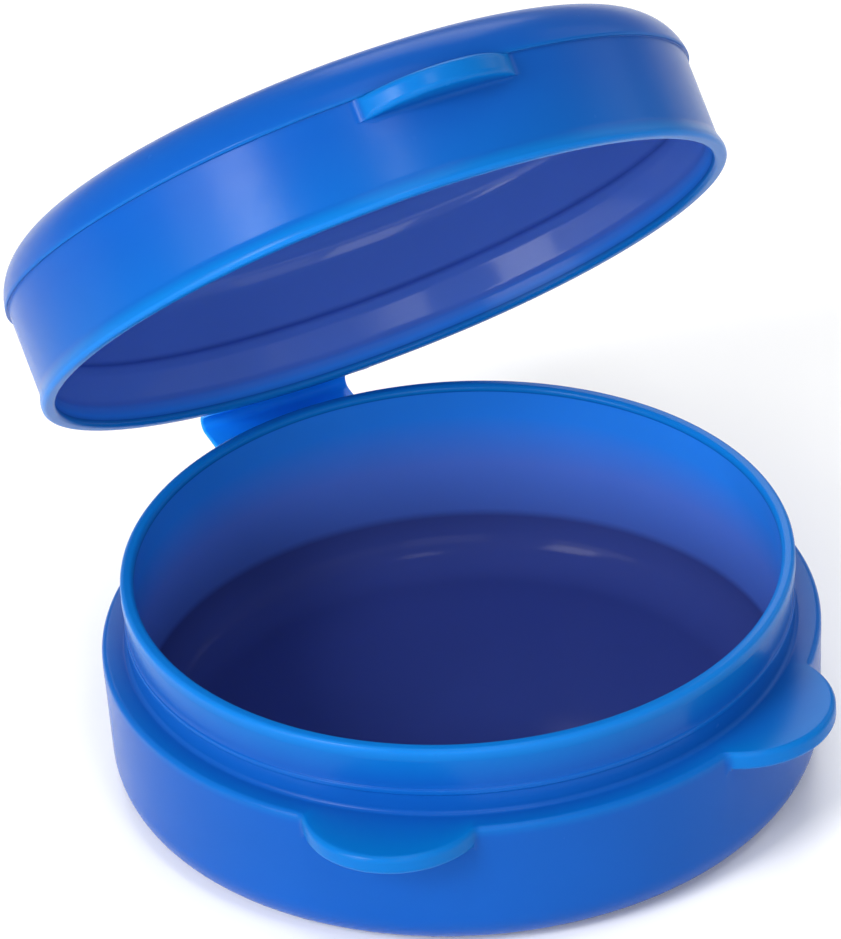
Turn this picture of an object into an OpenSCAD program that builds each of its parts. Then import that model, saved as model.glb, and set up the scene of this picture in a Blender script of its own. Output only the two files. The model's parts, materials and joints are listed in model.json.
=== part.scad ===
// Round flip-top pill box, moulded in one shot with a living hinge.
// Units are millimetres. The origin is the centre of the underside, +Z is up,
// the hinge is towards +Y and the lid's thumb tab is towards -Y when shut.
// Every lid part is drawn shut, in its own height above the lid's rim, and is
// then turned open about the hinge film.

/* [Base] */
// Radius of the shoulder that the shut lid stands on
shoulder_r = 22.45; // [22:0.05:23]
// Height of the shoulder's top above the table
shoulder_z = 9.4; // [8:0.1:14]
// Radius of the rounded corner between wall and underside
foot_corner_r = 2.7; // [1:0.1:5]
// Draft of the outer wall, in degrees
wall_draft = 2; // [0:0.1:4]
// Slight step from the shoulder's edge in to the wall below it
wall_step = 0.05; // [0.03:0.01:0.3]
// Thickness of the floor
floor_t = 1.3; // [0.8:0.1:2]
// Radius of the rounded corner between floor and inner wall
bowl_corner_r = 3; // [2:0.1:5]

/* [Neck] */
// Outer radius of the neck near its top
neck_r = 21; // [19:0.1:22]
// Outer radius of the neck at its root, under the snap edge
neck_root_r = 20.8; // [19:0.1:22]
// Height of the neck above the shoulder
neck_h = 4.8; // [4:0.1:6]
// Wall of the neck at its top
neck_wall = 0.85; // [0.6:0.05:1.2]
// Radius of the fillet between shoulder and neck
neck_fillet_r = 0.3; // [0.2:0.05:1]
// Height of the fine rib's middle above the shoulder
rib_z = 1.6; // [1.4:0.05:2.5]
// Height of the fine rib where it meets the neck
rib_h = 0.4; // [0.2:0.05:0.8]
// How far the fine rib stands out of the neck
rib_proud = 0.1; // [0.05:0.01:0.15]

/* [Lid] */
// Height of the whole lid, rim to top
lid_h = 10.1; // [9.5:0.1:12]
// Height of the line between skirt and crown, above the rim
seam_h = 6.7; // [5:0.1:7.5]
// Outer radius of the crown
crown_r = 22.68; // [22.5:0.01:23]
// Radius of the crown's rounded corner
crown_corner_r = 3.75; // [1.5:0.05:3.9]
// Outer radius of the skirt under the crown
skirt_r = 22.45; // [22.2:0.05:22.65]
// Outer radius of the skirt at the rim
lip_r = 22.66; // [22.5:0.01:23]
// Inner radius of the skirt
skirt_bore_r = 21.65; // [20:0.05:24]
// Inner radius of the lip at the rim
lip_bore_r = 21.8; // [20:0.05:24]
// Height of the lip band at the rim
lip_h = 1.2; // [0.8:0.1:1.4]
// Inner radius of the snap bead
bead_bore_r = 21.3; // [20.8:0.05:21.5]
// Height of the snap bead's upper edge above the rim
bead_top_h = 4.2; // [3.6:0.1:5]
// Thickness of the lid's flat top
lid_top_t = 1.1; // [0.8:0.1:2]
// Radius of the fillet between the lid's inner wall and its ceiling
ceiling_fillet_r = 2; // [0.5:0.1:2.5]
// Gap between the shut lid's rim and the shoulder
rim_gap = 0.1; // [0.05:0.01:0.3]

/* [Thumb tabs] */
// Radius of each base tab's round outline
base_tab_r = 5.7; // [4:0.1:8]
// Distance of a base tab's centre from the box's axis
base_tab_centre = 20; // [18:0.1:21]
// Thickness of the base tabs
base_tab_t = 1.25; // [0.8:0.05:2]
// Angle of each base tab from the lid tab, in degrees
base_tab_angle = 36; // [25:1:60]
// Turn of all three tabs about the box's axis, away from straight opposite the hinge, in degrees
tab_turn = 2; // [-5:0.5:5]
// Radius of the lid tab's round outline
lid_tab_r = 5.8; // [4:0.1:8]
// Distance of the lid tab's centre from the lid's axis
lid_tab_centre = 19.1; // [18:0.1:21]
// Thickness of the lid tab
lid_tab_t = 1.45; // [0.8:0.05:2]
// Rounding of the tabs' edges
tab_edge_r = 0.3; // [0.1:0.05:0.6]

/* [Hinge] */
// Distance of the hinge film's line from the box's axis
film_y = 27.85; // [26:0.05:32]
// Height of the hinge film's line above the shoulder
film_rise = 0.85; // [0.7:0.05:1.2]
// Radius of the bead that stands for the folded film
film_r = 0.3; // [0.2:0.05:0.5]
// Width of the hinge strap
strap_w = 10.3; // [6:0.1:16]
// Sideways offset of the strap's middle from the box's axis
strap_x = 0.6; // [-1:0.1:1]
// Thickness of each leaf where it meets the base or the lid
leaf_root_t = 1; // [0.6:0.05:1]
// Thickness of each leaf beside the film
leaf_tip_t = 0.36; // [0.2:0.02:0.6]
// Clearance between the film bead and the lid's leaf
film_clearance = 0.05; // [0.02:0.01:0.1]
// How far the lid stands open at rest, in degrees
open_angle = 46.4; // [0:0.1:180]

/* [Preview] */
// Which sub-part to draw

/* [Hidden] */
$fn = 96;
// Overshoot of cutting shapes past the faces they cut
cut = 1;
// Small rounding of mould edges
edge_r = 0.2;
film_z = shoulder_z + film_rise;
// The ring that carries the tabs is as thick as they are
ring_bottom_z = shoulder_z - base_tab_t;
wall_top_r = shoulder_r - wall_step;
// Where the drafted wall leaves the rounded foot corner
wall_tangent_z = foot_corner_r * (1 - sin(wall_draft));
foot_r = wall_top_r - foot_corner_r * cos(wall_draft)
    - (ring_bottom_z - wall_tangent_z) * tan(wall_draft);
bowl_r = neck_r - neck_wall;
floor_disc_r = bowl_r - bowl_corner_r;
neck_top_z = shoulder_z + neck_h;
neck_start_z = shoulder_z + neck_fillet_r;
// The neck's undercut ends here, above the fine rib
undercut_top_z = shoulder_z + rib_z + rib_h;
neck_edge_r = 0.3;
crown_disc_r = crown_r - crown_corner_r - 0.4;
ceiling_h = lid_h - lid_top_t;
// The band of the skirt that carries the lid tab is straight
tab_bottom_h = seam_h - lid_tab_t;
// The bead rises gently from the rim's side to its crest, then falls steeply
bead_bottom_h = lip_h + 0.4;
bead_crest_h = bead_top_h - 0.9;
// The leaves leave this much air between them when the lid is shut
leaf_gap_tip = 0.12;

// ---- shared shapes ----

// Puts children drawn with the lid shut and the rim at z = 0 in the resting pose
module on_lid() {
    translate([0, film_y, film_z])
        rotate([-open_angle, 0, 0])
            translate([0, -film_y, shoulder_z + rim_gap - film_z])
                children();
}

// Half section of the ring between two heights and two radii
module band(r_in, r_out, z_low, z_high) {
    translate([r_in, z_low])
        square([r_out - r_in, z_high - z_low]);
}

// Half section of a flat disc whose outer edges are rounded
module rounded_disc_section(r, t, edge) {
    square([r - edge, t]);
    translate([0, edge])
        square([r, t - 2 * edge]);
    translate([r - edge, edge])
        circle(r = edge);
    translate([r - edge, t - edge])
        circle(r = edge);
}

// A round tab, with the cylinder it grows out of taken away
module round_tab(angle, centre, r, t, root_r, z_low) {
    difference() {
        rotate([0, 0, angle])
            translate([centre, 0, z_low])
                rotate_extrude()
                    rounded_disc_section(r, t, tab_edge_r);
        translate([0, 0, z_low - cut])
            cylinder(r = root_r, h = t + 2 * cut);
    }
}

// A strap cross-section, drawn as [y, z] points, given the strap's width
module strap_section(points) {
    translate([strap_x + strap_w / 2, 0, 0])
        rotate([90, 0, -90])
            linear_extrude(height = strap_w)
                mirror([1, 0])
                    polygon(points);
}

// ---- base ----

// The space inside the cup, as a half section
module bowl_space_section() {
    translate([0, floor_t])
        square([floor_disc_r, neck_top_z - floor_t + cut]);
    translate([0, floor_t + bowl_corner_r])
        square([bowl_r, neck_top_z - floor_t - bowl_corner_r + cut]);
    translate([floor_disc_r, floor_t + bowl_corner_r])
        circle(r = bowl_corner_r);
}

// The outside of the cup up to the ring, as a half section
module cup_outside_section() {
    polygon([
        [0, 0],
        [foot_r, 0],
        [foot_r, foot_corner_r],
        [foot_r + foot_corner_r * cos(wall_draft), wall_tangent_z],
        [wall_top_r, ring_bottom_z],
        [0, ring_bottom_z]
    ]);
    intersection() {
        translate([foot_r, foot_corner_r])
            circle(r = foot_corner_r);
        translate([foot_r, 0])
            square([2 * foot_corner_r, foot_corner_r]);
    }
}

module base_floor() {
    color("royalblue")
        cylinder(r = floor_disc_r, h = floor_t);
}

module base_bowl() {
    color("royalblue")
        rotate_extrude()
            difference() {
                cup_outside_section();
                bowl_space_section();
                square([2 * floor_disc_r, 2 * floor_t], center = true);
            }
}

module base_shoulder() {
    color("royalblue")
        rotate_extrude() {
            band(bowl_r, shoulder_r - edge_r, ring_bottom_z, shoulder_z);
            band(bowl_r, shoulder_r, ring_bottom_z, shoulder_z - edge_r);
            translate([shoulder_r - edge_r, shoulder_z - edge_r])
                circle(r = edge_r);
            difference() {
                band(bowl_r, neck_root_r + neck_fillet_r, shoulder_z, neck_start_z);
                translate([neck_root_r + neck_fillet_r, neck_start_z])
                    circle(r = neck_fillet_r);
            }
        }
}

module neck_collar() {
    color("royalblue")
        rotate_extrude() {
            polygon([
                [bowl_r, neck_start_z],
                [neck_root_r, neck_start_z],
                [neck_root_r, undercut_top_z],
                [neck_r, neck_top_z - neck_wall],
                [neck_r, neck_top_z - neck_edge_r],
                [neck_r - neck_edge_r, neck_top_z - neck_edge_r],
                [neck_r - neck_edge_r, neck_top_z],
                [bowl_r + neck_edge_r, neck_top_z],
                [bowl_r + neck_edge_r, neck_top_z - neck_edge_r],
                [bowl_r, neck_top_z - neck_edge_r]
            ]);
            translate([neck_r - neck_edge_r, neck_top_z - neck_edge_r])
                circle(r = neck_edge_r);
            translate([bowl_r + neck_edge_r, neck_top_z - neck_edge_r])
                circle(r = neck_edge_r);
        }
}

module neck_rib() {
    color("royalblue")
        rotate_extrude()
            translate([neck_root_r, shoulder_z + rib_z])
                polygon([
                    [0, -rib_h / 2],
                    [rib_proud, -rib_h / 4],
                    [rib_proud, rib_h / 4],
                    [0, rib_h / 2]
                ]);
}

module base_tab(side) {
    round_tab(
        -90 - tab_turn + side * base_tab_angle,
        base_tab_centre,
        base_tab_r,
        base_tab_t,
        shoulder_r,
        ring_bottom_z
    );
}

module base_tab_left() {
    color("royalblue")
        base_tab(-1);
}

module base_tab_right() {
    color("royalblue")
        base_tab(1);
}

// ---- hinge ----

module film_bead(r) {
    translate([strap_x - strap_w / 2 - cut, film_y, film_z])
        rotate([0, 90, 0])
            cylinder(r = r, h = strap_w + 2 * cut);
}

module base_hinge_leaf() {
    color("royalblue")
        difference() {
            strap_section([
                [shoulder_r - cut, shoulder_z - leaf_root_t],
                [shoulder_r, shoulder_z - leaf_root_t],
                [film_y, film_z - leaf_gap_tip / 2 - leaf_tip_t],
                [film_y, film_z - leaf_gap_tip / 2],
                [shoulder_r, shoulder_z - edge_r],
                [shoulder_r - cut, shoulder_z - edge_r]
            ]);
            film_bead(film_r);
            translate([0, 0, ring_bottom_z - cut])
                cylinder(r = shoulder_r, h = base_tab_t + 2 * cut);
        }
}

module hinge_film() {
    color("royalblue")
        translate([strap_x - strap_w / 2, film_y, film_z])
            rotate([0, 90, 0])
                cylinder(r = film_r, h = strap_w);
}

module lid_hinge_leaf() {
    // Height of the film's line above the shut lid's rim
    film_h = film_rise - rim_gap;
    color("royalblue")
        on_lid()
            difference() {
                strap_section([
                    [skirt_r - cut, 0],
                    [lip_r, 0],
                    [film_y, film_h + leaf_gap_tip / 2],
                    [film_y, film_h + leaf_gap_tip / 2 + leaf_tip_t],
                    [lip_r, leaf_root_t],
                    [skirt_r - cut, leaf_root_t]
                ]);
                translate([0, 0, -shoulder_z - rim_gap])
                    film_bead(film_r + film_clearance);
                translate([0, 0, -cut])
                    cylinder(r = lip_r, h = lip_h + 2 * cut);
            }
}

// ---- lid ----

module lid_lip() {
    color("royalblue")
        on_lid()
            rotate_extrude() {
                polygon([
                    [lip_bore_r, 2 * edge_r],
                    [lip_bore_r + 2 * edge_r, 0],
                    [lip_r - edge_r, 0],
                    [lip_r - edge_r, edge_r],
                    [lip_r, edge_r],
                    [lip_r, lip_h / 2],
                    [skirt_r, lip_h],
                    [skirt_bore_r, lip_h]
                ]);
                translate([lip_r - edge_r, edge_r])
                    circle(r = edge_r);
            }
}

module lid_skirt() {
    color("royalblue")
        on_lid()
            rotate_extrude()
                band(skirt_bore_r, skirt_r, lip_h, seam_h);
}

module lid_snap_bead() {
    proud = skirt_bore_r - bead_bore_r;
    color("royalblue")
        on_lid()
            rotate_extrude()
                polygon([
                    [skirt_bore_r, bead_bottom_h],
                    [bead_bore_r, bead_crest_h],
                    [bead_bore_r, bead_top_h - proud],
                    [skirt_bore_r, bead_top_h]
                ]);
}

module lid_crown() {
    corner_h = lid_h - crown_corner_r;
    fillet_h = ceiling_h - ceiling_fillet_r;
    color("royalblue")
        on_lid()
            rotate_extrude()
                difference() {
                    intersection() {
                        union() {
                            band(crown_disc_r, crown_r, 0, corner_h);
                            band(crown_disc_r, crown_r - crown_corner_r, 0, lid_h);
                            translate([crown_r - crown_corner_r, corner_h])
                                circle(r = crown_corner_r);
                        }
                        band(crown_disc_r, crown_r, seam_h, lid_h);
                    }
                    band(0, skirt_bore_r - ceiling_fillet_r, seam_h - cut, ceiling_h);
                    band(0, skirt_bore_r, seam_h - cut, fillet_h);
                    translate([skirt_bore_r - ceiling_fillet_r, fillet_h])
                        circle(r = ceiling_fillet_r);
                }
}

module lid_top() {
    color("royalblue")
        on_lid()
            translate([0, 0, ceiling_h])
                cylinder(r = crown_disc_r, h = lid_top_t);
}

module lid_tab() {
    color("royalblue")
        on_lid()
            round_tab(
                -90 - tab_turn,
                lid_tab_centre,
                lid_tab_r,
                lid_tab_t,
                skirt_r,
                tab_bottom_h
            );
}

base_floor();
base_bowl();
base_shoulder();
neck_collar();
neck_rib();
base_tab_left();
base_tab_right();
base_hinge_leaf();
hinge_film();
lid_hinge_leaf();
lid_lip();
lid_skirt();
lid_snap_bead();
lid_crown();
lid_top();
lid_tab();
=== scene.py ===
"""Looks of the round flip-top pill box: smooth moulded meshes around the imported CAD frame, in metres."""

import json
import math

import bmesh
import bpy
import numpy as np
from mathutils import Matrix, Vector


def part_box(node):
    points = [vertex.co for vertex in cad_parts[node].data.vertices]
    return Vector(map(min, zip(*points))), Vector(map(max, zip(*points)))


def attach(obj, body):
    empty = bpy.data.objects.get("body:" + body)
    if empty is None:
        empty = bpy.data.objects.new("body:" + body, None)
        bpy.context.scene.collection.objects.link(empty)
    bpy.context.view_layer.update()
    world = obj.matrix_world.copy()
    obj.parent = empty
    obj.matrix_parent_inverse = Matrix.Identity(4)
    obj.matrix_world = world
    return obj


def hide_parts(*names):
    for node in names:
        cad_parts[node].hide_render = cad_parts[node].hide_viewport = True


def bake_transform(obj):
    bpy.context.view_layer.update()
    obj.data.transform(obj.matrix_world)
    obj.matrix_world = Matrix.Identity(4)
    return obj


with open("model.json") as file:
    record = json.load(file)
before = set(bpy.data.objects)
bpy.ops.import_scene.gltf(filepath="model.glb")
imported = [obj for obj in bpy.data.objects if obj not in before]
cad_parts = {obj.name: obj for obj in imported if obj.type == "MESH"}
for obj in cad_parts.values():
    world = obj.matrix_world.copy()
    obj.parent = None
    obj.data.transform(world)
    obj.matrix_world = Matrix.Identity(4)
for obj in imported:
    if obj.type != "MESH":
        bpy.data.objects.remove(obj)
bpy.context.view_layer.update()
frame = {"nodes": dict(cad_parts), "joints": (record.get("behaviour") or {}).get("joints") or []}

MM = 0.001
HINGE = frame["joints"][0]
FILM_Y, FILM_Z = HINGE["pos_m"][1], HINGE["pos_m"][2]
OPEN_ANGLE = math.radians(-HINGE["range_deg"][0])


# ---- placing the lid ----


def turn_open(angle):
    """The turn of the lid about the hinge film, from shut to open by an angle."""
    pivot = Matrix.Translation((0, FILM_Y, FILM_Z))
    return pivot @ Matrix.Rotation(-angle, 4, "X") @ pivot.inverted()


def shut_box(node):
    """Lowest and highest corner of a lid node with the lid shut."""
    shut = turn_open(-OPEN_ANGLE)
    points = np.array([shut @ v.co for v in frame["nodes"][node].data.vertices])
    return Vector(points.min(0)), Vector(points.max(0))


# ---- sizes read from the CAD nodes ----

SHOULDER_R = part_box("base_shoulder")[1].x
RING_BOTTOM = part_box("base_shoulder")[0].z
NECK_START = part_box("base_shoulder")[1].z
SHOULDER_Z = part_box("base_tab_left")[1].z
WALL_TOP_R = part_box("base_bowl")[1].x
FLOOR_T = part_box("base_floor")[1].z
NECK_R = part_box("neck_collar")[1].x
NECK_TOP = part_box("neck_collar")[1].z
RIB_LOW, RIB_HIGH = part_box("neck_rib")[0].z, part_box("neck_rib")[1].z
RIB_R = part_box("neck_rib")[1].x
STRAP_LEFT, STRAP_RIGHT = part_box("hinge_film")[0].x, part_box("hinge_film")[1].x
STRAP_W, STRAP_X = STRAP_RIGHT - STRAP_LEFT, (STRAP_RIGHT + STRAP_LEFT) / 2

RIM_Z = shut_box("lid_lip")[0].z
LIP_R = shut_box("lid_lip")[1].x
LIP_H = shut_box("lid_lip")[1].z - RIM_Z
CROWN_R = shut_box("lid_crown")[1].x
SEAM_H = shut_box("lid_crown")[0].z - RIM_Z
LID_H = shut_box("lid_crown")[1].z - RIM_Z
CEILING_H = shut_box("lid_top")[0].z - RIM_Z
LID_TAB_LOW = shut_box("lid_tab")[0].z - RIM_Z
BEAD_LOW = shut_box("lid_snap_bead")[0].z - RIM_Z
BEAD_HIGH = shut_box("lid_snap_bead")[1].z - RIM_Z

# ---- fine sizes that the boxes don't give ----

NECK_WALL = 0.85 * MM
BOWL_R = NECK_R - NECK_WALL
NECK_ROOT_R = 20.8 * MM
NECK_FILLET = NECK_START - SHOULDER_Z
FOOT_CORNER = 2.7 * MM
BOWL_CORNER = 3 * MM
WALL_DRAFT = math.radians(2)
CROWN_CORNER = 3.75 * MM
CEILING_FILLET = 2 * MM
SKIRT_R = 22.45 * MM
SKIRT_BORE = 21.65 * MM
LIP_BORE = 21.8 * MM
BEAD_BORE = 21.3 * MM
# The bead's crest starts this far below its upper edge
BEAD_CREST = BEAD_HIGH - 0.9 * MM
BASE_TAB_R, BASE_TAB_CENTRE = 5.7 * MM, 20 * MM
BASE_TAB_ANGLE = math.radians(36)
LID_TAB_R, LID_TAB_CENTRE = 5.8 * MM, 19.1 * MM
TAB_TURN = math.radians(2)
# Width of the fillet between a tab's outline and the wall it grows out of
TAB_ROOT_BLEND = 0.3 * MM

# ---- edge rounding of the mouldings ----

TAB_EDGE = 0.38 * MM
SHOULDER_EDGE = 0.35 * MM
TAB_UNDER_EDGE = 0.3 * MM
NECK_EDGE = 0.3 * MM
RIB_EDGE = 0.08 * MM
LIP_EDGE = 0.28 * MM
LIP_FLARE_BEND = 0.9 * MM
BEAD_FOOT_BEND = 1.5 * MM
BEAD_TOP_BEND = 0.5 * MM
# Over this distance a wall's section turns into a tab's section
TAB_BLEND = 0.5 * MM

# ---- mesh building ----


def fillet_reaches(corners):
    """How far each corner's fillet reaches along its two sides, with the turn angle halved."""
    wanted, halves = [0.0], [math.pi / 2]
    for i in range(1, len(corners) - 1):
        p = Vector(corners[i][:2])
        to_last, to_next = Vector(corners[i - 1][:2]) - p, Vector(corners[i + 1][:2]) - p
        if min(to_last.length, to_next.length) < 1e-9 or corners[i][3] == 0:
            wanted.append(0.0)
            halves.append(math.pi / 2)
            continue
        half = max(to_last.angle(to_next) / 2, 1e-4)
        wanted.append(corners[i][2] / math.tan(half))
        halves.append(half)
    wanted.append(0.0)
    halves.append(math.pi / 2)
    reaches = list(wanted)
    for i in range(len(corners) - 1):
        side = (Vector(corners[i + 1][:2]) - Vector(corners[i][:2])).length
        share = side / max(wanted[i] + wanted[i + 1], 1e-9)
        reaches[i] = min(reaches[i], wanted[i] * share)
        reaches[i + 1] = min(reaches[i + 1], wanted[i + 1] * share)
    return reaches, halves


def round_outline(corners):
    """Points (r, z, painted light level) of an open outline. A corner is (r, z, fillet radius, fillet steps,
    painted light level): painted glow above 0, painted light and shade below.
    """
    # Extra points this close to each fillet's ends keep the shading of the flat stretches flat
    support = 0.07 * MM
    reaches, halves = fillet_reaches(corners)
    arcs = []
    for i, (r, z, _, steps, painted_light_shade) in enumerate(corners):
        p = Vector((r, z))
        reach, half = reaches[i], halves[i]
        if reach < 1e-9:
            arcs.append([(p, painted_light_shade)] * (steps + 1))
            continue
        a = (Vector(corners[i - 1][:2]) - p).normalized()
        b = (Vector(corners[i + 1][:2]) - p).normalized()
        turn = math.pi - 2 * half
        if turn < 1e-4:
            spread = [reach * (1 - 2 * k / steps) for k in range(steps + 1)]
            arcs.append([(p + a * s, painted_light_shade) for s in spread])
            continue
        centre = p + (a + b).normalized() * reach / math.cos(half)
        start = p + a * reach - centre
        side = 1 if a.x * b.y - a.y * b.x < 0 else -1
        arc = []
        for k in range(steps + 1):
            angle = side * turn * k / steps
            c, s = math.cos(angle), math.sin(angle)
            arc.append((centre + Vector((start.x * c - start.y * s, start.x * s + start.y * c)), painted_light_shade))
        arcs.append(arc)
    points = []
    for i, arc in enumerate(arcs):
        points += arc
        if i + 1 < len(arcs):
            (p, g), (q, h) = arc[-1], arcs[i + 1][0]
            share = min(support / max((q - p).length, 1e-9), 1 / 3)
            for t in (share, 1 - share):
                points.append((p.lerp(q, t), g + (h - g) * t))
    return [(p.x, p.y, painted_light_shade) for p, painted_light_shade in points]


def columns(tab_angles, tab_half):
    """Angles round the axis, closer together where a tab grows out of the wall."""
    coarse, fine = math.radians(1.25), math.radians(0.25)
    angles = []
    angle = 0.0
    while angle < 2 * math.pi - fine / 2:
        angles.append(angle)
        near = any(abs(math.remainder(angle - a, 2 * math.pi)) < tab_half for a in tab_angles)
        angle += fine if near else coarse
    return angles


def tab_outline(angle, wall_r, tab_angles, tab_r, tab_centre):
    """Distance from the axis to the outline of a wall and its round tabs, joined with small fillets."""
    reach = wall_r
    for tab_angle in tab_angles:
        turn = math.remainder(angle - tab_angle, 2 * math.pi)
        if abs(turn) > math.pi / 4:
            continue
        low, high = wall_r - TAB_ROOT_BLEND, tab_centre + tab_r + TAB_ROOT_BLEND
        for _ in range(40):
            r = (low + high) / 2
            to_wall = r - wall_r
            to_tab = math.hypot(r * math.cos(turn) - tab_centre, r * math.sin(turn)) - tab_r
            overlap = max(TAB_ROOT_BLEND - abs(to_wall - to_tab), 0)
            inside = min(to_wall, to_tab) - overlap**2 / (4 * TAB_ROOT_BLEND) < 0
            low, high = (r, high) if inside else (low, r)
        reach = max(reach, low)
    return reach


def lathe(name, angles, outline_at, matrix):
    """A closed mesh whose section, at each angle round the axis, is outline_at(angle)."""
    mesh = bpy.data.meshes.new(name)
    bm = bmesh.new()
    # Each vertex keeps the outline's painted light level: painted glow, painted light or painted shade
    painted_light_shade_layer = bm.verts.layers.float.new("painted_light_shade")
    rings = []
    for angle in angles:
        ring = []
        for r, z, painted_light_shade in outline_at(angle):
            vert = bm.verts.new(matrix @ Vector((r * math.cos(angle), r * math.sin(angle), z)))
            vert[painted_light_shade_layer] = painted_light_shade
            ring.append(vert)
        rings.append(ring)
    for ring, after in zip(rings, rings[1:] + rings[:1]):
        for k in range(len(ring) - 1):
            bm.faces.new((ring[k], after[k], after[k + 1], ring[k + 1]))
    bmesh.ops.remove_doubles(bm, verts=bm.verts, dist=2e-6)
    bmesh.ops.recalc_face_normals(bm, faces=bm.faces)
    for face in bm.faces:
        face.smooth = True
    bm.to_mesh(mesh)
    bm.free()
    piece = bpy.data.objects.new(name, mesh)
    bpy.context.scene.collection.objects.link(piece)
    return piece


# ---- the cup ----


def ease(t):
    """A smooth step from 0 to 1."""
    t = min(max(t, 0), 1)
    return t * t * (3 - 2 * t)


def cup_outline(angle):
    """The cup's section from the underside's middle, over the rim, to the floor's middle."""
    edge = tab_outline(angle, SHOULDER_R, BASE_TABS, BASE_TAB_R, BASE_TAB_CENTRE)
    on_tab = ease((edge - SHOULDER_R) / TAB_BLEND)
    # Away from the tabs the wall runs up to the shoulder without a step
    spread = TAB_BLEND * (1 - on_tab)
    wall_foot_r = WALL_TOP_R - RING_BOTTOM * math.tan(WALL_DRAFT)
    edge_r = SHOULDER_EDGE + (TAB_EDGE - SHOULDER_EDGE) * on_tab
    rib_mid, rib_half = (RIB_LOW + RIB_HIGH) / 2, (RIB_HIGH - RIB_LOW) / 2
    # The last number of each corner paints light: a painted glow on the tab edges, rib and rim, painted light on
    # the upper inner walls, painted shade deeper down, on the floor and under the base
    return round_outline([
        (0, 0, 0, 0, -0.3),
        (wall_foot_r, 0, FOOT_CORNER, 14, 0),
        (WALL_TOP_R, RING_BOTTOM - spread, SHOULDER_EDGE, 4, 0),
        (edge, RING_BOTTOM + spread, TAB_UNDER_EDGE, 5, 0.5 * on_tab),
        (edge, SHOULDER_Z, edge_r, 7, 0.25 + 0.3 * on_tab),
        (NECK_ROOT_R, SHOULDER_Z, NECK_FILLET, 6, 0),
        (NECK_ROOT_R, rib_mid - rib_half, RIB_EDGE, 3, 0),
        (RIB_R, rib_mid - rib_half * 0.7, RIB_EDGE, 3, 0.1),
        (RIB_R, rib_mid + rib_half * 0.7, RIB_EDGE, 3, 0.1),
        (NECK_ROOT_R, rib_mid + rib_half, RIB_EDGE, 3, 0),
        (NECK_ROOT_R, rib_mid + rib_half + 0.3 * MM, 1.5 * MM, 4, 0),
        (NECK_R, NECK_TOP - NECK_WALL, 0.6 * MM, 4, 0.35),
        (NECK_R, NECK_TOP, NECK_EDGE, 7, 0.9),
        (BOWL_R, NECK_TOP, NECK_EDGE, 7, 0.9),
        (BOWL_R, NECK_TOP - 0.45 * MM, 0, 0, -0.2),
        (BOWL_R, NECK_TOP - 2.2 * MM, 0, 0, -0.2),
        (BOWL_R, SHOULDER_Z - 1 * MM, 0, 0, -0.5),
        (BOWL_R, FLOOR_T + BOWL_CORNER + 0.6 * MM, 0, 0, -0.72),
        (BOWL_R, FLOOR_T, BOWL_CORNER, 14, -1),
        (0, FLOOR_T, 0, 0, -1),
    ])


# ---- the lid ----


def crown_outline():
    """The lid's top and its rounded corner, down to the seam."""
    steps = 22
    end = math.asin((SEAM_H - LID_H + CROWN_CORNER) / CROWN_CORNER)
    # The third number paints a faint glow that fades in over the last steps before the seam
    points = [(0, LID_H, 0)]
    for k in range(steps + 1):
        tilt = math.pi / 2 + (end - math.pi / 2) * k / steps
        points.append((
            CROWN_R - CROWN_CORNER * (1 - math.cos(tilt)),
            LID_H - CROWN_CORNER * (1 - math.sin(tilt)),
            0.3 * ease((k - steps + 1.5) / 1.5),
        ))
    return points


SEAM_R = crown_outline()[-1][0]


def lid_outline(angle):
    """The shut lid's section from the top's middle, over the rim, to the ceiling's middle, above the rim."""
    edge = tab_outline(angle, SKIRT_R, LID_TABS, LID_TAB_R, LID_TAB_CENTRE)
    on_tab = ease((edge - SKIRT_R) / TAB_BLEND)
    proud = SKIRT_BORE - BEAD_BORE
    # The last number of each corner paints light: a painted glow on the seam, lip and tab edges, painted light on
    # the inside of the skirt, bead and ceiling
    return crown_outline() + round_outline([
        (SEAM_R - 0.05 * MM, SEAM_H, 0, 0, 0.3),
        (edge, SEAM_H, TAB_EDGE * on_tab, 5, 0.6 * on_tab),
        (edge, LID_TAB_LOW, TAB_EDGE * on_tab, 5, 0.6 * on_tab),
        (SKIRT_R, LID_TAB_LOW, 0.3 * MM * on_tab, 4, 0),
        (SKIRT_R, LIP_H, LIP_FLARE_BEND, 5, 0.15),
        (LIP_R, LIP_H * 0.4, LIP_FLARE_BEND, 5, 0.6),
        (LIP_R, 0, LIP_EDGE, 6, 0.9),
        (LIP_BORE, 0, LIP_EDGE, 6, 0.9),
        (LIP_BORE - 0.05 * MM, 0.45 * MM, 0, 0, -0.12),
        (SKIRT_BORE, LIP_H, 0.5 * MM, 3, -0.35),
        (SKIRT_BORE, BEAD_LOW, BEAD_FOOT_BEND, 4, -0.48),
        (BEAD_BORE, BEAD_CREST, BEAD_FOOT_BEND, 6, -0.5),
        (BEAD_BORE, BEAD_HIGH - proud, BEAD_TOP_BEND, 5, -0.5),
        (SKIRT_BORE, BEAD_HIGH, BEAD_TOP_BEND, 5, -0.5),
        (SKIRT_BORE, CEILING_H, CEILING_FILLET, 9, -0.5),
        (0, CEILING_H, 0, 0, -0.5),
    ])


LID_TABS = [-math.pi / 2 - TAB_TURN]
BASE_TABS = [LID_TABS[0] - BASE_TAB_ANGLE, LID_TABS[0] + BASE_TAB_ANGLE]
TAB_SPAN = math.radians(18)

cup = lathe("cup_moulding", columns(BASE_TABS, TAB_SPAN), cup_outline, Matrix.Identity(4))
lid = lathe(
    "lid_moulding",
    columns(LID_TABS, TAB_SPAN),
    lid_outline,
    turn_open(OPEN_ANGLE) @ Matrix.Translation((0, 0, RIM_Z)),
)

# ---- the hinge strap ----

# The folded strap passes this far outside the line that the lid turns about
FOLD_R = 0.62 * MM
STRAP_ROOT_T = 0.95 * MM
STRAP_FILM_T = 0.34 * MM
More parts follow.
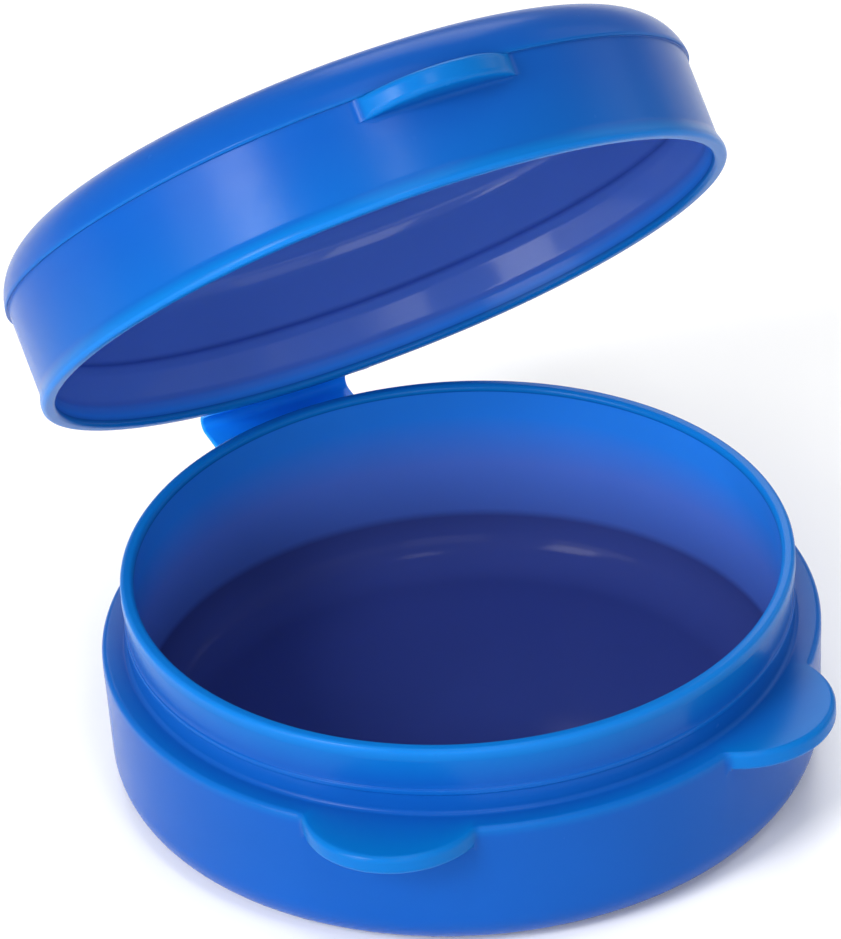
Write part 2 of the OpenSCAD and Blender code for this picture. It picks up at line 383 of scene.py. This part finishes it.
# The strap widens by this much on each side where it meets the base, over this length
STRAP_FLARE = 0.9 * MM
STRAP_FLARE_LEN = 2.2 * MM
# Over this width the strap's sides get a stronger painted glow, for light that would come through them
STRAP_EDGE_GLOW = 1.5 * MM


def turned(point, angle):
    """A point of the hinge's side view, turned about the film line."""
    c, s = math.cos(angle), math.sin(angle)
    return Vector((point.x * c - point.y * s, point.x * s + point.y * c))


def strap_path():
    """Stations (y, z, thickness) from inside the shoulder, round the fold, into the lid's lip."""
    root_t, film_t = STRAP_ROOT_T, STRAP_FILM_T
    film = Vector((FILM_Y, FILM_Z))
    base_root = Vector((SHOULDER_R - 0.6 * MM, SHOULDER_Z - 0.55 * MM)) - film
    opened = turn_open(OPEN_ANGLE) @ Vector((0, LIP_R - 0.5 * MM, RIM_Z + 0.55 * MM))
    lid_root = Vector((opened.y, opened.z)) - film
    leave = math.atan2(base_root.y, base_root.x) + math.acos(FOLD_R / base_root.length)
    arrive = math.atan2(lid_root.y, lid_root.x) - math.acos(FOLD_R / lid_root.length)
    first = Vector((FOLD_R * math.cos(leave), FOLD_R * math.sin(leave)))
    last = Vector((FOLD_R * math.cos(arrive), FOLD_R * math.sin(arrive)))
    sweep = (arrive - leave) % (2 * math.pi)
    leaf_steps, fold_steps = 16, 20
    stations = []
    for k in range(leaf_steps):
        t = k / leaf_steps
        stations.append((base_root.lerp(first, t), root_t + (film_t - root_t) * ease(t)))
    for k in range(fold_steps + 1):
        stations.append((turned(first, sweep * k / fold_steps), film_t))
    for k in range(1, leaf_steps + 1):
        t = k / leaf_steps
        stations.append((last.lerp(lid_root, t), film_t + (root_t - film_t) * ease(t)))
    return [(film + p, thickness) for p, thickness in stations], first, last


def strap_mesh(name):
    """The strap in its pose at rest: a flat section with round edges, swept along the strap's path."""
    stations = strap_path()[0]
    ring_steps = 6
    bm = bmesh.new()
    painted_light_shade_layer = bm.verts.layers.float.new("painted_light_shade")
    rings = []
    for i, (p, thickness) in enumerate(stations):
        q = stations[min(i + 1, len(stations) - 1)][0]
        o = stations[max(i - 1, 0)][0]
        along = (q - o).normalized()
        up = Vector((-along.y, along.x))
        from_end = (p - stations[0][0]).length
        widen = STRAP_FLARE * max(0, 1 - from_end / STRAP_FLARE_LEN) ** 2.2
        half_w, half_t = STRAP_W / 2 + widen, thickness / 2
        round_r = half_t * 0.95
        ring = []
        for side, (sx, sn) in enumerate(((1, 1), (-1, 1), (-1, -1), (1, -1))):
            for k in range(ring_steps + 1):
                angle = math.pi / 2 * (side + k / ring_steps)
                x = sx * (half_w - round_r) + round_r * math.cos(angle)
                n = sn * (half_t - round_r) + round_r * math.sin(angle)
                vert = bm.verts.new((STRAP_X + x, p.x + up.x * n, p.y + up.y * n))
                # The whole strap gets a painted glow, stronger on its sides
                glow = ease((abs(x) - half_w + STRAP_EDGE_GLOW) / STRAP_EDGE_GLOW)
                vert[painted_light_shade_layer] = 0.7 + 0.3 * glow
                ring.append(vert)
        rings.append(ring)
    for ring, after in zip(rings, rings[1:]):
        for k in range(len(ring)):
            m = (k + 1) % len(ring)
            bm.faces.new((ring[k], ring[m], after[m], after[k]))
    bm.faces.new(rings[0])
    bm.faces.new(rings[-1])
    bmesh.ops.remove_doubles(bm, verts=bm.verts, dist=1e-6)
    bmesh.ops.recalc_face_normals(bm, faces=bm.faces)
    for face in bm.faces:
        face.smooth = len(face.verts) < 5
    mesh = bpy.data.meshes.new(name)
    bm.to_mesh(mesh)
    bm.free()
    piece = bpy.data.objects.new(name, mesh)
    bpy.context.scene.collection.objects.link(piece)
    return piece


strap = strap_mesh("hinge_strap")

# ---- materials ----

# Plastic colours by the painted light level: -1 painted shade deep inside a hollow, -0.5 and -0.2 painted light on
# inner walls, 0 plain wall, 1 a painted glow on an edge that lets light through
BLUES = [
    (-1.0, (0.0260, 0.043, 0.195)),
    (-0.5, (0.0580, 0.135, 0.51)),
    (-0.2, (0.0160, 0.175, 0.66)),
    (0.0, (0.0030, 0.075, 0.355)),
    (0.5, (0.0010, 0.122, 0.42)),
    (1.0, (0.0040, 0.150, 0.50)),
]


# Strength of the shine outside, and the share of the outer roughness left on the polished inner faces
OUTER_GLOSS = 0.09
INNER_POLISH = 0.5
# Darkest and lightest flow mark, as a factor on the plastic's colour
FLOW_MARKS = (0.90, 1.06)
ROUGHNESS = (0.20, 0.30)


def node(tree, kind, **settings):
    """A new shader node with the given settings."""
    made = tree.nodes.new(kind)
    for key, value in settings.items():
        setattr(made, key, value)
    return made


def blue_plastic(name, seed, painted_glow_gain=1.0, inner_gloss=OUTER_GLOSS):
    """Satin polypropylene: even blue with faint flow marks, a painted glow on narrow edges, painted light on inner
    walls and painted shade deep in hollows.
    """
    material = bpy.data.materials.new(name)
    material.use_nodes = True
    tree = material.node_tree
    tree.nodes.clear()
    links = tree.links
    output = node(tree, "ShaderNodeOutputMaterial")
    shader = node(tree, "ShaderNodeBsdfPrincipled")
    links.new(shader.outputs["BSDF"], output.inputs["Surface"])
    place = node(tree, "ShaderNodeTexCoord")

    flow = node(tree, "ShaderNodeTexNoise", noise_dimensions="4D")
    flow.inputs["Scale"].default_value = 90
    flow.inputs["Detail"].default_value = 3
    flow.inputs["Distortion"].default_value = 0.6
    flow.inputs["W"].default_value = seed
    links.new(place.outputs["Object"], flow.inputs["Vector"])
    marks = node(tree, "ShaderNodeMapRange")
    # The gain scales the whole colour: above 1 it is a painted glow
    marks.inputs["To Min"].default_value = FLOW_MARKS[0] * painted_glow_gain
    marks.inputs["To Max"].default_value = FLOW_MARKS[1] * painted_glow_gain
    links.new(flow.outputs["Fac"], marks.inputs["Value"])

    # The painted light level picks the colour: painted glow on edges, painted light on inner walls, painted shade
    # deep inside
    painted_light_shade = node(tree, "ShaderNodeAttribute", attribute_name="painted_light_shade")
    on_ramp = node(tree, "ShaderNodeMapRange")
    on_ramp.inputs["From Min"].default_value = -1
    links.new(painted_light_shade.outputs["Fac"], on_ramp.inputs["Value"])
    blues = node(tree, "ShaderNodeValToRGB")
    ramp = blues.color_ramp
    while len(ramp.elements) < len(BLUES):
        ramp.elements.new(0.5)
    for stop, (level, colour) in zip(ramp.elements, BLUES):
        stop.position = (level + 1) / 2
        stop.color = (*colour, 1)
    links.new(on_ramp.outputs["Result"], blues.inputs["Fac"])
    marked = node(tree, "ShaderNodeVectorMath", operation="SCALE")
    links.new(blues.outputs["Color"], marked.inputs[0])
    links.new(marks.outputs["Result"], marked.inputs["Scale"])
    links.new(marked.outputs["Vector"], shader.inputs["Base Color"])

    haze = node(tree, "ShaderNodeTexNoise")
    haze.inputs["Scale"].default_value = 700
    haze.inputs["Detail"].default_value = 4
    links.new(place.outputs["Object"], haze.inputs["Vector"])
    satin = node(tree, "ShaderNodeMapRange")
    satin.inputs["To Min"].default_value = ROUGHNESS[0]
    satin.inputs["To Max"].default_value = ROUGHNESS[1]
    links.new(haze.outputs["Fac"], satin.inputs["Value"])
    inside = node(tree, "ShaderNodeMapRange")
    inside.inputs["From Min"].default_value = -0.1
    inside.inputs["From Max"].default_value = -0.4
    links.new(painted_light_shade.outputs["Fac"], inside.inputs["Value"])
    polish = node(tree, "ShaderNodeMapRange")
    polish.inputs["To Min"].default_value = 1
    polish.inputs["To Max"].default_value = INNER_POLISH
    links.new(inside.outputs["Result"], polish.inputs["Value"])
    polished = node(tree, "ShaderNodeMath", operation="MULTIPLY")
    links.new(satin.outputs["Result"], polished.inputs[0])
    links.new(polish.outputs["Result"], polished.inputs[1])
    links.new(polished.outputs["Value"], shader.inputs["Roughness"])
    gloss = node(tree, "ShaderNodeMapRange")
    gloss.inputs["To Min"].default_value = OUTER_GLOSS
    gloss.inputs["To Max"].default_value = inner_gloss
    links.new(inside.outputs["Result"], gloss.inputs["Value"])
    links.new(gloss.outputs["Result"], shader.inputs["Specular IOR Level"])

    grain = node(tree, "ShaderNodeTexNoise")
    grain.inputs["Scale"].default_value = 4500
    grain.inputs["Detail"].default_value = 2
    links.new(place.outputs["Object"], grain.inputs["Vector"])
    bump = node(tree, "ShaderNodeBump")
    bump.inputs["Strength"].default_value = 0.05
    bump.inputs["Distance"].default_value = 0.00005
    links.new(grain.outputs["Fac"], bump.inputs["Height"])
    links.new(bump.outputs["Normal"], shader.inputs["Normal"])

    shader.inputs["IOR"].default_value = 1.49
    shader.inputs["Subsurface Weight"].default_value = 0.15
    shader.inputs["Subsurface Radius"].default_value = (0.1, 0.5, 1.0)
    shader.inputs["Subsurface Scale"].default_value = 1 * MM
    return material


cup.data.materials.append(blue_plastic("cup_plastic", 1.5, inner_gloss=0.03))
lid.data.materials.append(blue_plastic("lid_plastic", 7.2, inner_gloss=0.22))
# The strap's colour is raised by a painted glow, for light that would come through the strap
strap.data.materials.append(blue_plastic("strap_plastic", 4.1, painted_glow_gain=1.75))

# ---- riding on the CAD bodies ----

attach(cup, "base")
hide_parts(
    "base_floor", "base_bowl", "base_shoulder", "neck_collar", "neck_rib", "base_tab_left", "base_tab_right"
)
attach(lid, "lid")
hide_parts("lid_lip", "lid_skirt", "lid_snap_bead", "lid_crown", "lid_top", "lid_tab")

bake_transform(strap)
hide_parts("base_hinge_leaf", "hinge_film", "lid_hinge_leaf")

# ---- floor, light and camera ----


def plain_surface(name, colour, roughness):
    """A material of one colour and roughness."""
    material = bpy.data.materials.new(name)
    material.use_nodes = True
    shader = material.node_tree.nodes["Principled BSDF"]
    shader.inputs["Base Color"].default_value = (*colour, 1)
    shader.inputs["Roughness"].default_value = roughness
    return material


def floor():
    """A pale floor, a hair below the box."""
    size, drop = 3, 0.02 * MM
    mesh = bpy.data.meshes.new("floor")
    corners = [(-size, -size), (size, -size), (size, size), (-size, size)]
    mesh.from_pydata([(x, y, -drop) for x, y in corners], [], [(0, 1, 2, 3)])
    piece = bpy.data.objects.new("floor", mesh)
    bpy.context.scene.collection.objects.link(piece)
    mesh.materials.append(plain_surface("pale_floor", (0.96, 0.96, 0.96), 0.8))


def area_light(name, place, target, side, power):
    """A square softbox that faces the target."""
    data = bpy.data.lights.new(name, "AREA")
    data.shape = "RECTANGLE"
    data.size = data.size_y = side
    data.energy = power
    light = bpy.data.objects.new(name, data)
    light.location = place
    light.rotation_mode = "QUATERNION"
    light.rotation_quaternion = (Vector(target) - Vector(place)).to_track_quat("-Z", "Y")
    bpy.context.scene.collection.objects.link(light)


# Softboxes as (name, azimuth and elevation in degrees, side, watts). Azimuth 0 is in front of the box
SOFTBOXES = [
    ("key", -70, 35, 0.16, 1.90),
    ("key_low", -75, 15, 0.30, 1.60),
    ("front_low", -20, 20, 0.30, 0.90),
    ("front_high", -8, 57, 0.10, 0.40),
    ("right_low", 15, 20, 0.30, 0.25),
    ("right", 100, 25, 0.30, 0.30),
    ("back", 156, 35, 0.30, 0.85),
    ("top", 0, 85, 0.30, 0.65),
]
SOFTBOX_DISTANCE = 0.6
WORLD_STRENGTH = 0.50


def studio():
    """An even white world and the softboxes."""
    world = bpy.data.worlds.new("studio")
    world.use_nodes = True
    background = world.node_tree.nodes["Background"]
    background.inputs["Color"].default_value = (1, 1, 1, 1)
    background.inputs["Strength"].default_value = WORLD_STRENGTH
    bpy.context.scene.world = world
    middle = Vector((0, 0, 0.02))
    for name, azimuth, elevation, side, power in SOFTBOXES:
        turn, tilt = math.radians(azimuth), math.radians(elevation)
        towards = Vector((math.sin(turn) * math.cos(tilt), -math.cos(turn) * math.cos(tilt), math.sin(tilt)))
        area_light(name, middle + towards * SOFTBOX_DISTANCE, middle, side, power)


def camera():
    """A long lens, above the front left of the box, tipped a little to one side."""
    azimuth, elevation, roll = math.radians(-24.21), math.radians(32.68), math.radians(-3.53)
    distance = 0.6337
    target = Vector((-0.00172, 0.00086, 0.02095))
    back = Vector((
        math.sin(azimuth) * math.cos(elevation),
        -math.cos(azimuth) * math.cos(elevation),
        math.sin(elevation),
    ))
    level = Vector((math.cos(azimuth), math.sin(azimuth), 0))
    steep = back.cross(level)
    right = level * math.cos(roll) + steep * math.sin(roll)
    up = back.cross(right)
    data = bpy.data.cameras.new("camera")
    data.lens = 393.47
    data.sensor_width = 36
    data.clip_start, data.clip_end = 0.05, 20
    made = bpy.data.objects.new("camera", data)
    made.rotation_mode = "QUATERNION"
    made.rotation_quaternion = Matrix((right, up, back)).transposed().to_quaternion()
    made.location = target + back * distance
    bpy.context.scene.collection.objects.link(made)
    bpy.context.scene.camera = made


floor()
studio()
camera()
bpy.context.scene.view_settings.view_transform = "Standard"
